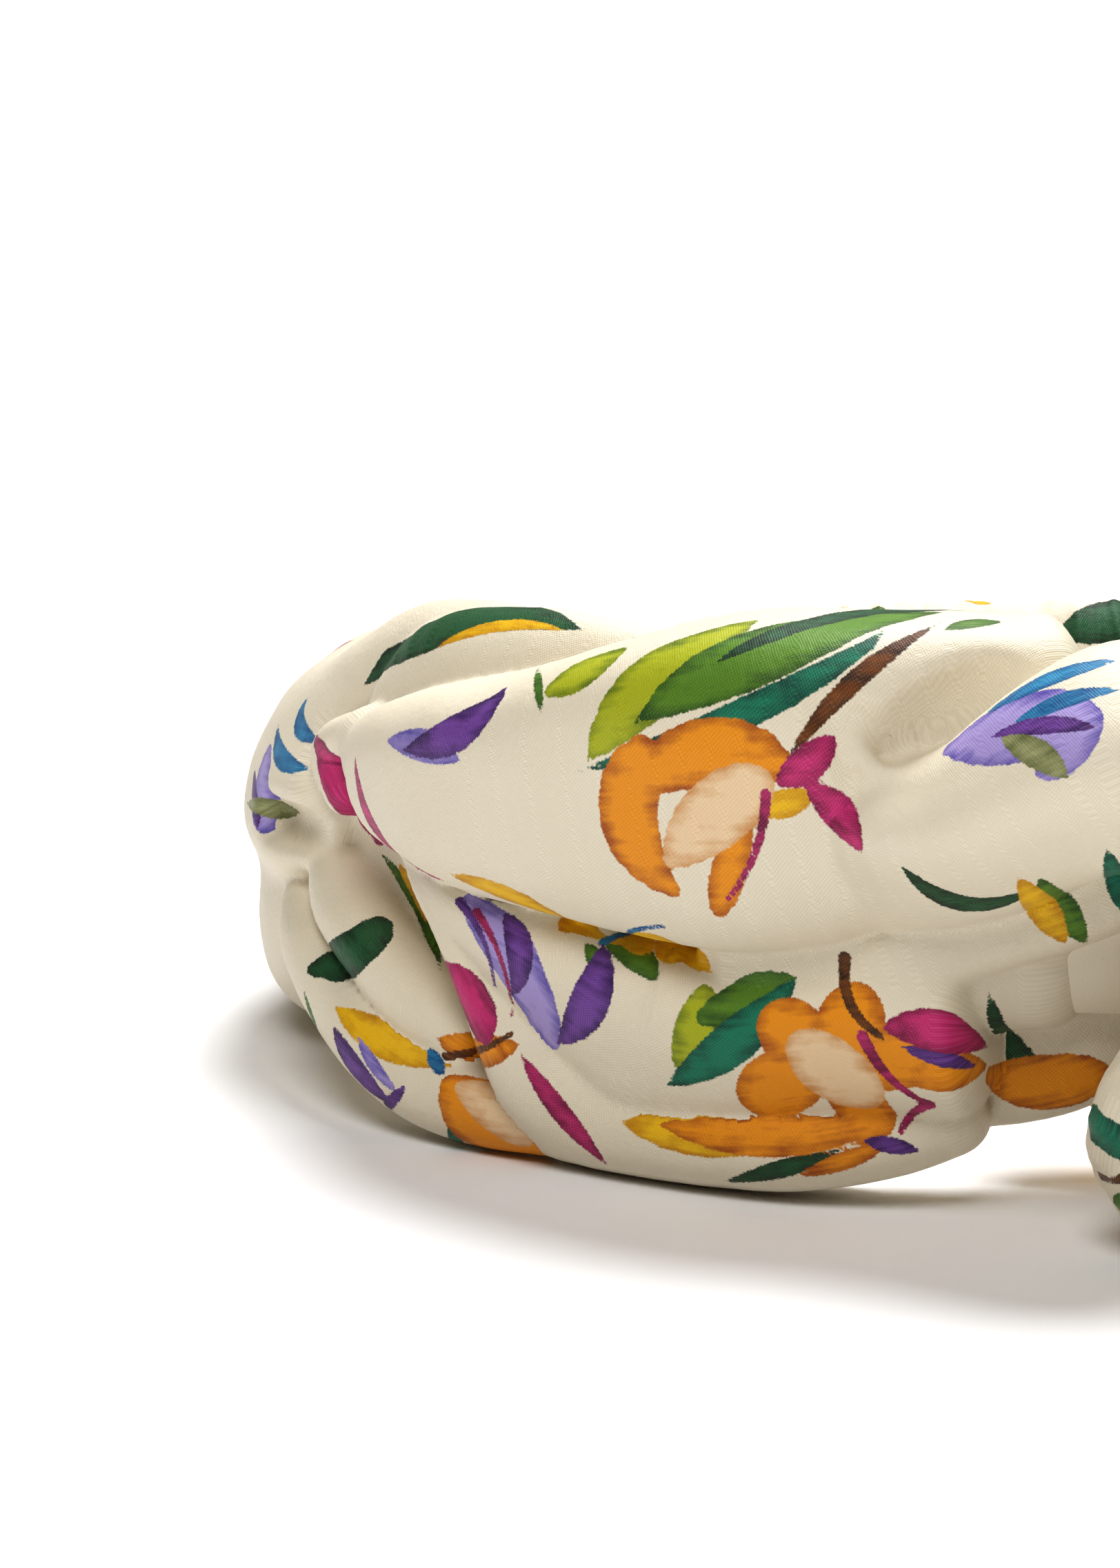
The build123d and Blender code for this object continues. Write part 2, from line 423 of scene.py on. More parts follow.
OVER_STRAND = dict(power=2.6, lean=8, stations=[
    (-42, -57, 41, 5, 5), (-31, -65.5, 41, 6.5, 7), (-22, -73.8, 40.8, 7.6, 9.2),
    (-14, -78.6, 43.3, 8.2, 10), (-6, -81.3, 48.5, 9.4, 10.5), (1, -82, 52.2, 10.8, 10.3),
    (8, -78, 54, 10.5, 9), (13, -70, 55.5, 10, 7.5), (15, -61, 55, 10, 6.5), (14, -52, 50, 10, 6),
    (10, -47, 42, 9.5, 5.5), (2, -46, 36, 9, 5),
])
OVER_HOLLOW = dict(power=2.8, blend=1.0, carve=True, stations=[
    (-28, -84.5, 56, 4.6, 7), (-24, -84.8, 54.2, 5.6, 9.5), (-19, -85.2, 57.2, 6.6, 10.5),
    (-13, -85.8, 62.8, 7.2, 11), (-6, -86, 69, 7.2, 11),
])
# The gathered middle that fills the knot behind the strand
KNOT_TUCK = dict(pleats=(4, 0.3), stations=[
    (-8, -67, 44, 6, 6), (-1, -64, 47, 8, 8), (6, -58, 46, 8, 8), (7, -52, 38, 8, 7),
])
# The tight edge of the hollow
OVER_RIM = dict(power=2.0, blend=2.2, stations=[
    (-28.5, -74, 57, 0.9, 0.9), (-27.4, -77, 53, 1.2, 1.2), (-25.2, -78.8, 49.8, 1.3, 1.3),
    (-22, -80.6, 48.2, 1.4, 1.4), (-18.5, -83, 49, 1.3, 1.3), (-15, -85, 51.5, 1.1, 1.1),
])
UNDER_STRAND = dict(blend=2.0, pleats=(5, 0.25), stations=[
    (38, -62, 27, 9, 8), (29, -69, 27, 9.5, 9.5), (21, -76, 25, 9.5, 10), (14, -81, 20.5, 10.5, 10),
    (9, -83.5, 13.5, 11.6, 9), (9, -80, 6.8, 9, 6.8), (10, -71, 6.5, 8.5, 6.3), (9, -60, 8, 8.5, 6),
    (3, -51, 14, 8.5, 6), (-5, -47, 22, 8.5, 5.5),
])
# The dark pocket at the left end of the lower fold
LOWER_POCKET = dict(blend=2.5, carve=True, stations=[
    (-76, 12, 29, 2.5, 5), (-71, 11.5, 29, 3, 5.5), (-66, 11, 30, 3, 5), (-62, 11, 32.5, 2.5, 4.5),
])
LEFT_ONLY = ("strip_to_knot", "under_lip")


def grouped(folds, convert=lambda stations: stations, leave_out=()):
    groups = {}
    for name, fold in folds.items():
        if name in leave_out:
            continue
        spec = dict(fold, stations=convert(fold["stations"]))
        groups.setdefault(spec.pop("group", name), []).append(band_roll(**spec))
    return groups


def left_groups():
    groups = grouped(LEFT_FOLDS)
    groups["side"].append(band_roll(**LOWER_POCKET))
    groups["upper"] += [knot_roll(**OVER_HOLLOW), knot_roll(**OVER_RIM)]
    groups["tuck"] = [knot_roll(**KNOT_TUCK)]
    groups["over"] = [knot_roll(**OVER_STRAND)]
    return groups


def right_groups():
    groups = grouped(LEFT_FOLDS, turned_over, LEFT_ONLY)
    groups["upper"].append(knot_roll(**UNDER_STRAND))
    return groups


# ---- The print: generic petals, leaves and stems ----

# Ink: its deep tone and its thin tone. Later inks are painted over earlier ones.
INKS = {
    "lime": ((0.13, 0.19, 0.004), (0.40, 0.44, 0.012)),
    "green": ((0.018, 0.07, 0.006), (0.10, 0.23, 0.015)),
    "dark_green": ((0.003, 0.02, 0.006), (0.012, 0.09, 0.03)),
    "teal": ((0.0, 0.06, 0.04), (0.003, 0.19, 0.11)),
    "yellow": ((0.52, 0.24, 0.0), (0.82, 0.50, 0.006)),
    "orange": ((0.36, 0.085, 0.0), (0.78, 0.29, 0.002)),
    "peach": ((0.60, 0.30, 0.11), (0.80, 0.60, 0.38)),
    "lilac": ((0.11, 0.08, 0.38), (0.38, 0.31, 0.64)),
    "blue": ((0.003, 0.08, 0.24), (0.03, 0.25, 0.46)),
    "purple": ((0.035, 0.006, 0.09), (0.17, 0.06, 0.33)),
    "sage": ((0.13, 0.15, 0.05), (0.34, 0.35, 0.17)),
    "brown": ((0.04, 0.012, 0.001), (0.20, 0.06, 0.004)),
    "magenta": ((0.17, 0.003, 0.05), (0.55, 0.03, 0.18)),
}
INK_REACH = 2.0  # distances past this are all the same, in millimetres

# A design lists (ink, shape, strokes), and a stroke is (start x, start y, end x, end y, bow to the left,
# half width) in millimetres. On the front it lies on a plane that leans back: x to the right and y up it.
FRONT_TILT = 12.0  # the plane's lean in degrees
FRONT_PLANE_Y = -80.0  # where the plane meets the table
FRONT_THROW = 200  # how far before the plane a stroke is thrown from
FRONT_PRINT = [
    # on the upper front fold
    ("lime", "leaf", [(-55, 49, -37, 64, 2, 3.2), (-60, 56, -51, 61, 0, 2)]),
    ("green", "leaf", [(-50, 53, -18, 65, 2.5, 3.4), (-18, 63, -12, 64, 0.3, 1),
        (-61, 59, -60, 54, 0, 0.5)]),
    ("dark_green", "leaf", [(-42, 59, -14, 65, 2.5, 1.3), (-22, 39, -8, 37, -3, 1.4)]),
    ("teal", "leaf", [(-56, 48, -22, 64, -2, 1.4)]),
    ("brown", "leaf", [(-34, 49, -18, 64, 1.5, 0.9)]),
    ("orange", "petal", [(-46, 36, -49, 50, 3, 3), (-50, 46, -35, 49, 2.5, 3),
        (-38, 45, -41, 34, 0, 1.6)]),
    ("peach", "petal", [(-46, 39, -37, 47, 0.5, 3)]),
    ("yellow", "leaf", [(-48, 37, -45, 41, 0, 1), (-37, 44, -31, 46, 0, 1.3),
        (-71, 37, -53, 30, 0.5, 1.5), (-54, 30, -42, 27, 2, 1.9)]),
    ("magenta", "leaf", [(-35, 47, -29, 52, -0.5, 1.6), (-32, 47, -26, 40, 0.8, 1.6),
        (-82, 50, -71, 36, -3.5, 1.1)]),
    ("magenta", "stem", [(-36, 46, -40, 35, 1, 0.5)]),
    ("lilac", "leaf", [(-78, 51, -69, 49, 0.5, 1.5)]),
    ("purple", "leaf", [(-76, 50, -64, 57, -1.5, 1.9)]),
    ("blue", "stem", [(-54, 30, -47, 32, 0.4, 0.45)]),
    # on the strand that goes over the knot
    ("lilac", "petal", [(-17, 51, -4, 54, 0.5, 3.4)]),
    ("lilac", "leaf", [(-2, 55, -8, 48, 0, 2.2)]),
    ("blue", "leaf", [(-14, 54, 0, 60, 1, 1.1), (-11, 53, 0, 57, 0.8, 0.9)]),
    ("purple", "leaf", [(-13, 52, -2, 53, 0.8, 0.9)]),
    ("sage", "leaf", [(-12, 52, -5, 48, 0.5, 1.3)]),
    # on the lower front fold
    ("lilac", "petal", [(-69, 34, -60, 20, 1, 2.8)]),
    ("purple", "leaf", [(-65, 33, -64, 24, 1.5, 1.5), (-54, 30, -59, 19, 1.5, 2),
        (-22, 20, -14, 18, 0, 0.8)]),
    ("magenta", "stem", [(-68, 33, -64, 22, 1, 0.4), (-26, 21, -19, 14, -1, 0.6),
        (-19, 14, -22, 11, -0.5, 0.6)]),
    ("purple", "stem", [(-70, 34, -66, 25, 1, 0.45)]),
    ("green", "leaf", [(-56, 30, -53, 24, 0.5, 1), (-54, 30, -48, 26, 1, 1.4), (-44, 22, -33, 27, 0, 2),
        (-8, 38, -3, 31, 0, 1.4)]),
    ("lime", "leaf", [(-43, 26, -46, 17, 1, 2.2)]),
    ("teal", "leaf", [(-47, 15, -33, 27, -1, 2), (-1, 41, 1, 34, 0, 1)]),
    ("orange", "petal", [(-31, 18, -37, 14, 0, 3.2), (-30, 19, -35, 22, 0, 3),
        (-28, 19, -27, 24, 0, 3.2), (-27, 18, -21, 19, 0, 3), (-28, 16, -25, 12, 0, 2.8)]),
    ("orange", "leaf", [(-22, 17, -13, 18, 0, 2)]),
    ("peach", "petal", [(-33, 20, -26, 15, 0, 3.2)]),
    ("brown", "stem", [(-28, 29, -24, 21, -1.5, 0.65)]),
    ("magenta", "leaf", [(-24, 22, -13, 20, 0.8, 1.9)]),
    ("yellow", "leaf", [(-10, 38, -5, 31, 0, 1.4)]),
    # on the small roll beside it
    ("magenta", "petal", [(-72, 27, -67, 20, 0.5, 2)]),
    ("orange", "leaf", [(-73, 19, -63, 19, -1, 1.6)]),
    ("brown", "stem", [(-72, 17, -64, 20, -0.5, 0.5)]),
    ("orange", "petal", [(-71, 14, -60, 5, -1, 4.4)]),
    ("peach", "petal", [(-70, 14, -63, 9, 0.5, 2.2)]),
    ("magenta", "leaf", [(-63, 18, -53, 6, -0.5, 1)]),
    # on the rolls at the lower left
    ("dark_green", "petal", [(-88, 26, -80, 31, -1, 2.2)]),
    ("yellow", "leaf", [(-85, 22, -71, 16, -0.5, 1.9), (-79, 38, -75, 31, 0.5, 0.7)]),
    ("blue", "leaf", [(-74, 18, -72, 15, 0, 0.7)]),
    ("purple", "leaf", [(-85, 20, -78, 12, -1, 1.4), (-76, 14, -80, 10, 0, 0.6)]),
    ("lilac", "leaf", [(-82, 19, -77, 13, -0.5, 0.7)]),
    ("teal", "leaf", [(-70, 11, -71, 7, 0, 0.9)]),
    ("green", "leaf", [(-89, 24, -84, 14, -0.5, 0.7), (-81, 39, -73, 26, 1, 0.8)]),
    # on the side and behind
    ("blue", "leaf", [(-90, 56, -88, 51, -2, 1), (-94, 53, -89, 48, -2, 1)]),
    ("lilac", "petal", [(-95, 50, -95, 42, -0.5, 2.2)]),
    ("purple", "leaf", [(-97, 48, -96, 41, 0, 0.9)]),
    ("sage", "leaf", [(-98, 44, -91, 43, 0, 1)]),
    ("magenta", "petal", [(-88, 51, -81, 41, 0, 2.2)]),
    ("dark_green", "leaf", [(-83, 57, -57, 63, 4.5, 2.8)]),
    ("yellow", "leaf", [(-74, 61, -59, 63, 1.5, 0.7)]),
    # in the gap beside the knot and under the lower fold
    ("dark_green", "leaf", [(-13, 26, -2, 15, -3, 1.3), (-41, 5, -28, 9, -0.3, 0.9)]),
    ("orange", "petal", [(-13, 17, -2, 17, -1, 2.8)]),
    ("yellow", "leaf", [(-52, 11, -32, 11, -0.5, 2.4)]),
    ("orange", "leaf", [(-48, 11, -23, 12, -1, 2.2), (-33, 6, -23, 10, -0.3, 0.9)]),
    ("purple", "leaf", [(-26, 10, -20, 9, 0, 0.8)]),
]

# On the right half's strand, where it goes under the knot
KNOT_FRONT = [
    ("orange", "petal", [(-3, 27, 3, 20, 0, 2)]),
    ("magenta", "leaf", [(2, 27, 9, 22, 1, 1.5)]),
]

# On the casing, where it shows above the knot
CASING_FRONT = [
    ("dark_green", "petal", [(-7, 66, 5, 70, 0, 2.6)]),
    ("green", "leaf", [(-4, 69, 6, 66, 0, 1.2)]),
]

# One flower with its leaves, for the sides that face elsewhere. "petal_ink" and "heart_ink" vary.
SPRAY = [
    ("lime", "leaf", [(-3, -4, -19, 4, 2.5, 3)]),
    ("green", "leaf", [(-5, -3, -21, 1, 1.5, 1.6), (1, -4, 15, -15, -1.5, 3)]),
    ("dark_green", "leaf", [(3, -5, 14, -14, -1, 1)]),
    ("teal", "leaf", [(-1, -5, -11, -18, 1.5, 1.8)]),
    ("brown", "stem", [(0, -2, 4, -18, -1.5, 0.7)]),
    ("magenta", "leaf", [(11, 6, 19, 11, 0, 2.1)]),
    ("yellow", "leaf", [(10, 3, 17, 2, 0.5, 1.6)]),
    ("purple", "stem", [(5, 0, 13, -7, 1, 0.6)]),
]
PETALS = ((11, 0), (7, 14), (12, -8), (7.5, 6), (9, -16))  # length, and turn from an even spread
PETAL_WIDE = 3.2
STROKE_SCALE = 1.2  # from the half widths written here to the painted ones
THROW = 40.0  # how far from the band's middle a stroke or a stitch is thrown onto it, in millimetres
SPRAY_INKS = (("orange", "peach"), ("lilac", "purple"), ("yellow", "orange"), ("peach", "magenta"))

# Sprays on the band: (angle from the knot, z, turn in degrees)
LEFT_OUTSIDE = [
    (13, 50, 200), (-101, 28, 20), (-108, 9, 200), (-119, 26, 100), (-128, 10, 330), (-137, 25, 60),
]
LEFT_INSIDE = [
    (3, 52, 120), (13, 44, 300),
    (-14, 40, 40), (-28, 20, 160), (-40, 44, 300), (-54, 18, 80), (-68, 38, 210), (-84, 16, 10),
    (-99, 32, 140), (-113, 12, 260), (-128, 27, 30),
]
RIGHT_OUTSIDE = [
    (6, 12, 280),
    (14, 50, 30), (22, 22, 200), (34, 44, 110), (44, 14, 320), (54, 38, 60), (66, 16, 170), (76, 38, 280),
    (88, 12, 90), (97, 32, 20), (108, 11, 230), (119, 27, 130), (130, 12, 340), (138, 26, 70),
]
RIGHT_INSIDE = [(-t, z, turn + 50) for t, z, turn in LEFT_INSIDE] + [(2, 14, 200)]
CASING_OUTSIDE = [(152, 16, 20), (165, 22, 190), (178, 14, 300), (192, 22, 80), (206, 15, 220)]
CASING_INSIDE = [(155, 20, 100), (170, 15, 250), (184, 20, 20), (200, 16, 140)]


def single_strokes(design):
    """Each stroke of a design by itself: (ink, shape, start, end, bow, half width)."""
    return [(ink, shape, row[:2], row[2:4], *row[4:]) for ink, shape, rows in design for row in rows]


def stroke_line(shape, start, end, bow, half_width, steps=9):
    """Points of a bowed stroke in its plane, and its half width at each."""
    f = np.linspace(0, 1, steps)
    start, end = np.array(start, float), np.array(end, float)
    along = end - start
    left = np.array([-along[1], along[0]]) / np.linalg.norm(along)
    line = start + along * f[:, None] + left * (bow * 4 * f * (1 - f))[:, None]
    widths = {
        "leaf": np.sin(math.pi * f) ** 0.8,
        "petal": np.clip(2.1 * (0.08 + f) ** 0.8 * (1.06 - f) ** 0.5, 0, 1),
        "stem": 1 - 0.5 * f,
    }[shape]
    return line, STROKE_SCALE * widths * half_width


def spray_at(turn, inks):
    """The strokes of a spray, turned, with its petals in the given inks."""
    petal_ink, heart_ink = inks
    strokes = single_strokes(SPRAY)
    for k, (length, shift) in enumerate(PETALS):
        direction = math.radians(90 + k * 360 / len(PETALS) + shift)
        end = (length * math.cos(direction), 2 + length * math.sin(direction))
        middle = (0.6 * end[0], 1 + 0.6 * end[1])
        strokes.append((petal_ink, "petal", (0, 2), end, 0.6, PETAL_WIDE * length / 9))
        strokes.append((heart_ink, "leaf", (0, 2), middle, 0.3, 0.45 * PETAL_WIDE))
    c, s = math.cos(math.radians(turn)), math.sin(math.radians(turn))

    def turned(p):
        return c * p[0] - s * p[1], s * p[0] + c * p[1]

    return [(ink, shape, turned(a), turned(b), bow, wide) for ink, shape, a, b, bow, wide in strokes]


class Painter:
    """Sticks strokes onto a mesh and stores the distance to each ink at every vertex."""

    def __init__(self, points, faces, group):
        self.points, self.faces, self.group = points, faces, group
        self.tree = BVHTree.FromPolygons(points.tolist(), faces.tolist())
        self.inks = {ink: np.full(len(points), INK_REACH, np.float32) for ink in INKS}

    def stick(self, stroke, origin, right, up, direction, jump=14.0):
        """Throws the stroke onto the mesh from a plane, and paints the folds that it lands on."""
        ink, shape, start, end, bow, half_width = stroke
        line, widths = stroke_line(shape, start, end, bow, half_width)
        landed, groups = [], set()
        for (x, y), wide in zip(line, widths):
            place, _, face, _ = self.tree.ray_cast(Vector(origin + right * x + up * y), Vector(direction))
            if place is None:
                continue
            spot = np.array(place)
            if landed and abs((spot - landed[-1][0]) @ direction) > jump:
                continue
            landed.append((spot, wide))
            groups.add(self.group[self.faces[face][0]])
        if len(landed) > 1:
            self.paint(ink, landed, groups)

    def paint(self, ink, landed, groups):
        spots = np.array([spot for spot, _ in landed])
        widths = np.array([wide for _, wide in landed])
        margin = widths.max() + INK_REACH
        inside = ((self.points > spots.min(0) - margin) & (self.points < spots.max(0) + margin)).all(1)
        near = np.flatnonzero(inside & np.isin(self.group, list(groups)))
        points = self.points[near]
        nearest = np.full(len(near), INK_REACH)
        for a, b, wide_a, wide_b in zip(spots, spots[1:], widths, widths[1:]):
            span = b - a
            f = np.clip((points - a) @ span / max(span @ span, 1e-6), 0, 1)
            gap = np.linalg.norm(points - a - f[:, None] * span, axis=1) - (wide_a + (wide_b - wide_a) * f)
            nearest = np.minimum(nearest, gap)
        self.inks[ink][near] = np.minimum(self.inks[ink][near], nearest)

    def paint_front(self, design):
        tilt = math.radians(FRONT_TILT)
        right = np.array([1.0, 0, 0])
        up = np.array([0, math.sin(tilt), math.cos(tilt)])
        direction = np.array([0, math.cos(tilt), -math.sin(tilt)])
        origin = np.array([0, FRONT_PLANE_Y, 0]) - FRONT_THROW * direction
        for stroke in single_strokes(design):
            self.stick(stroke, origin, right, up, direction)

    def paint_sprays(self, places, inside, first_ink=0):
        for k, (angle, z, turn) in enumerate(places):
            far = -THROW if inside else THROW
            origin, outward = loop_place(angle, far, z)
            direction = outward if inside else -outward
            up = np.array([0, 0, 1.0])
            right = np.cross(direction, up)
            inks = SPRAY_INKS[(k + first_ink) % len(SPRAY_INKS)]
            for stroke in spray_at(turn, inks):
                self.stick(stroke, origin, right, up, direction)

    def store(self, mesh):
        for ink, distance in self.inks.items():
            attribute = mesh.attributes.new(f"ink_{ink}", "FLOAT", "POINT")
            attribute.data.foreach_set("value", distance)


# ---- Materials ----


class Nodes:
    """Short calls for a material's node tree."""

    def __init__(self, name):
        self.material = bpy.data.materials.new(name)
        self.material.use_nodes = True
        self.tree = self.material.node_tree
        self.shader = self.tree.nodes["Principled BSDF"]

    def add(self, kind, inputs=None, **settings):
        node = self.tree.nodes.new(kind)
        for key, value in settings.items():
            setattr(node, key, value)
        for key, value in (inputs or {}).items():
            self.put(node.inputs[key], value)
        return node

    def put(self, socket, value):
        if isinstance(value, bpy.types.NodeSocket):
            self.tree.links.new(value, socket)
        else:
            socket.default_value = value

    def math(self, operation, a, b=0.0, clamp=False):
        return self.add("ShaderNodeMath", {0: a, 1: b}, operation=operation, use_clamp=clamp).outputs[0]

    def mix(self, factor, a, b, blend="MIX"):
        node = self.add("ShaderNodeMix", {"Factor": factor}, data_type="RGBA", blend_type=blend)
        self.put(node.inputs[6], a)
        self.put(node.inputs[7], b)
        return node.outputs[2]

    def noise(self, vector, scale, detail=2.0):
        node = self.add("ShaderNodeTexNoise", {"Vector": vector, "Scale": scale, "Detail": detail})
        return node.outputs["Fac"]

    def place(self):
        """The object's own coordinates, in metres."""
        return self.add("ShaderNodeTexCoord").outputs["Object"]

    def weave_place(self):
        """Place along and round the fold, in millimetres."""
        return self.add("ShaderNodeUVMap", uv_map="weave").outputs[0]

    def bump(self, height, distance, under=None):
        inputs = {"Height": height, "Distance": distance, "Strength": 1.0}
        if under is not None:
            inputs["Normal"] = under
        return self.add("ShaderNodeBump", inputs).outputs["Normal"]

    def finish(self, **shader):
        for key, value in shader.items():
            self.put(self.shader.inputs[key.replace("_", " ")], value)
        return self.material


def colour(r, g, b):
    return (r, g, b, 1.0)


IVORY, IVORY_DEEP = colour(0.78, 0.72, 0.59), colour(0.72, 0.64, 0.48)
THREAD_PITCH = 0.38  # between neighbouring floats of the satin, in millimetres


def satin_weave(nodes):
    """Slanted rows of short floats, from 0 between threads to 1 on a float, in the weave's own map."""
    place = nodes.weave_place()
    parts = nodes.add("ShaderNodeSeparateXYZ", {0: place})
    u, v = parts.outputs[0], parts.outputs[1]
    turns = 2 * math.pi / THREAD_PITCH
    slant = nodes.math("MULTIPLY", nodes.math("ADD", u, nodes.math("MULTIPLY", v, 0.45)), turns)
    rows = nodes.math("MULTIPLY", nodes.math("SUBTRACT", v, nodes.math("MULTIPLY", u, 0.3)), turns)
    dots = nodes.math("MULTIPLY", nodes.math("SINE", slant), nodes.math("SINE", rows))
    return nodes.math("ADD", nodes.math("MULTIPLY", dots, 0.5), 0.5), place


def printed_silk():
    """Ivory satin with the painted print, painted highlights on the floats and painted shade between them.
    """
    nodes = Nodes("printed_silk")
    weave, place = satin_weave(nodes)
    ragged = nodes.math("SUBTRACT", nodes.noise(place, 3.2, 3), 0.5)
    stretched = nodes.add("ShaderNodeVectorMath", {0: place, 1: (0.18, 1.5, 1.0)}, operation="MULTIPLY")
    streaks = nodes.noise(stretched.outputs[0], 0.9, 3)
    pooled = nodes.math("ADD", nodes.noise(place, 0.35, 4), streaks)
    washed = nodes.noise(place, 0.09, 2)
    ground = nodes.mix(nodes.math("MULTIPLY", washed, 0.5), IVORY, IVORY_DEEP)
    for ink, (deep, thin) in INKS.items():
        distance = nodes.add("ShaderNodeAttribute", attribute_name=f"ink_{ink}").outputs["Fac"]
        edge = nodes.math("ADD", distance, nodes.math("MULTIPLY", ragged, 0.6))
        covered = nodes.math("MULTIPLY_ADD", edge, -6.0, clamp=True)
        covered.node.inputs[2].default_value = 0.5
        inner = nodes.math("MULTIPLY", distance, -0.45, clamp=True)
        wash = nodes.math("ADD", inner, nodes.math("MULTIPLY", pooled, 1.8))
        tone = nodes.math("SUBTRACT", wash, 1.55, clamp=True)
        ground = nodes.mix(covered, ground, nodes.mix(tone, colour(*deep), colour(*thin)))
    # Painted highlight: the tops of the satin floats are mixed towards near-white, as if lit.
    painted_thread_highlight = nodes.math("MULTIPLY", nodes.math("POWER", weave, 3.0), 0.05)
    threads = nodes.mix(painted_thread_highlight, ground, colour(0.9, 0.86, 0.78))
    # Painted shade: the colour is darkened in the gaps between the floats.
    between = nodes.math("MULTIPLY", nodes.math("SUBTRACT", 1.0, weave), 0.3)
    shaded = nodes.mix(between, threads, colour(0.62, 0.54, 0.40), "MULTIPLY")
    slub = nodes.noise(place, 1.1, 3)
    normal = nodes.bump(slub, 0.00010)
    normal = nodes.bump(weave, 0.000032, normal)
    rough = nodes.math("ADD", nodes.math("MULTIPLY", weave, -0.12), 0.58)
    return nodes.finish(
        Base_Color=shaded, Normal=normal, Roughness=rough, Specular_IOR_Level=0.3, Sheen_Weight=0.06,
        Sheen_Roughness=0.4, Sheen_Tint=colour(1.0, 0.97, 0.9),
    )


def elastic_white():
    """Knitted elastic: fine cross threads over lengthwise ribs."""
    nodes = Nodes("elastic_white")
    place = nodes.weave_place()
    along = nodes.add("ShaderNodeSeparateXYZ", {0: place}).outputs[0]
    knit = nodes.math("SINE", nodes.math("MULTIPLY", along, 2 * math.pi / 0.6))
    tone = nodes.mix(nodes.noise(place, 1.5), colour(0.78, 0.77, 0.72), colour(0.86, 0.85, 0.80))
    return nodes.finish(
        Base_Color=tone, Normal=nodes.bump(knit, 0.00006), Roughness=0.75, Specular_IOR_Level=0.3
    )


def fibrous(name, scale, dark, light, **shader):
    """Plain material with fine fibres in its colour and on its surface."""
    nodes = Nodes(name)
    fibres = nodes.noise(nodes.place(), scale, 2)
    normal = nodes.bump(fibres, 0.00002)
    return nodes.finish(Base_Color=nodes.mix(fibres, dark, light), Normal=normal, **shader)


def thread_ivory():
    """Twisted polyester thread with fine fibres."""
    tones = colour(0.66, 0.60, 0.47), colour(0.82, 0.77, 0.65)
    return fibrous("thread_ivory", 6000.0, *tones, Roughness=0.5, Specular_IOR_Level=0.4)


def label_satin():
    """White ribbon satin with a fine weave and no text."""
    tones = colour(0.80, 0.80, 0.78), colour(0.90, 0.90, 0.88)
    return fibrous("label_satin", 4000.0, *tones, Roughness=0.38, Specular_IOR_Level=0.5)


def gathered_core():
    """The plain silk of the knot's hidden core, with painted crease shade."""
    nodes = Nodes("gathered_core")
    place = nodes.place()
    grain = nodes.noise(place, 2500.0, 2)
    # Painted shade: noise darkens patches towards the deeper ivory, standing in for the shade of creases.
    painted_crease_shade = nodes.noise(place, 180.0, 3)
    tone = nodes.mix(painted_crease_shade, IVORY_DEEP, IVORY)
    return nodes.finish(Base_Color=tone, Normal=nodes.bump(grain, 0.00003), Roughness=0.6)


def table_white():
    """White table that glows softly away from the middle, like a lit sweep."""
    nodes = Nodes("table_white")
    grain = nodes.noise(nodes.place(), 60.0, 3)
    tone = nodes.mix(grain, colour(0.88, 0.88, 0.89), colour(0.92, 0.92, 0.92))
    radius = nodes.add("ShaderNodeVectorMath", {0: nodes.place()}, operation="LENGTH").outputs["Value"]
    far = nodes.math("SUBTRACT", nodes.math("MULTIPLY", radius, 2.0), 0.8, clamp=True)
    return nodes.finish(
        Base_Color=tone, Roughness=0.7, Specular_IOR_Level=0.2, Emission_Color=colour(1, 1, 1),
        Emission_Strength=nodes.math("MULTIPLY", far, 0.8),
    )


# ---- Pieces ----

SILK = printed_silk()
THREAD = thread_ivory()


def make_silk(name, groups, front, outside, inside, first_ink):
    """One half's silk, painted."""
    silk = Silk(name, groups)
    silk.painter = Painter(silk.points, silk.quads, silk.group)
    silk.painter.paint_front(front)
    silk.painter.paint_sprays(outside, inside=False, first_ink=first_ink)
    silk.painter.paint_sprays(inside, inside=True, first_ink=first_ink + 1)
    silk.painter.store(silk.piece.data)
    silk.piece.data.materials.append(SILK)
    return silk


def make_left_silk():
    silk = make_silk("left_silk", left_groups(), FRONT_PRINT, LEFT_OUTSIDE, LEFT_INSIDE, first_ink=0)
    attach(silk.piece, ROOT)
    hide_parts("left_band_cover", "left_band_wadding", "knot_left_fold")
    return silk


def make_right_silk():
    silk = make_silk("right_silk", right_groups(), KNOT_FRONT, RIGHT_OUTSIDE, RIGHT_INSIDE, first_ink=2)
    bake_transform(silk.piece)
    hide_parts("right_band_cover", "right_band_wadding", "knot_right_fold")
    return silk


def mesh_piece(name, points, faces):
    """Smooth-shaded piece from points in millimetres."""
    mesh = bpy.data.meshes.new(name)
    mesh.from_pydata((np.asarray(points) * MM).tolist(), [], [list(f) for f in faces])
    mesh.polygons.foreach_set("use_smooth", np.ones(len(mesh.polygons), bool))
    mesh.update()
    return linked(name, mesh)


def tube_faces(rings, sides):
    """Quads of a tube whose points are listed ring by ring."""
    faces = []
    for i in range(rings - 1):
        for j in range(sides):
            k = (j + 1) % sides
            faces.append((i * sides + j, i * sides + k, (i + 1) * sides + k, (i + 1) * sides + j))
    return np.array(faces)


def uv_by_corner(mesh, faces, along, around, sides):
    """Weave map of a tube, whose last corners are carried past the seam instead of back to the start."""
    layer = mesh.uv_layers.new(name="weave")
    rings, columns = faces // sides, faces % sides
    seam = (columns.max(1) == sides - 1) & (columns.min(1) == 0)
    columns = np.where(seam[:, None] & (columns == 0), sides, columns)
    place = np.stack([rings * along, columns * around], -1)
    layer.data.foreach_set("uv", place.astype(float).ravel())


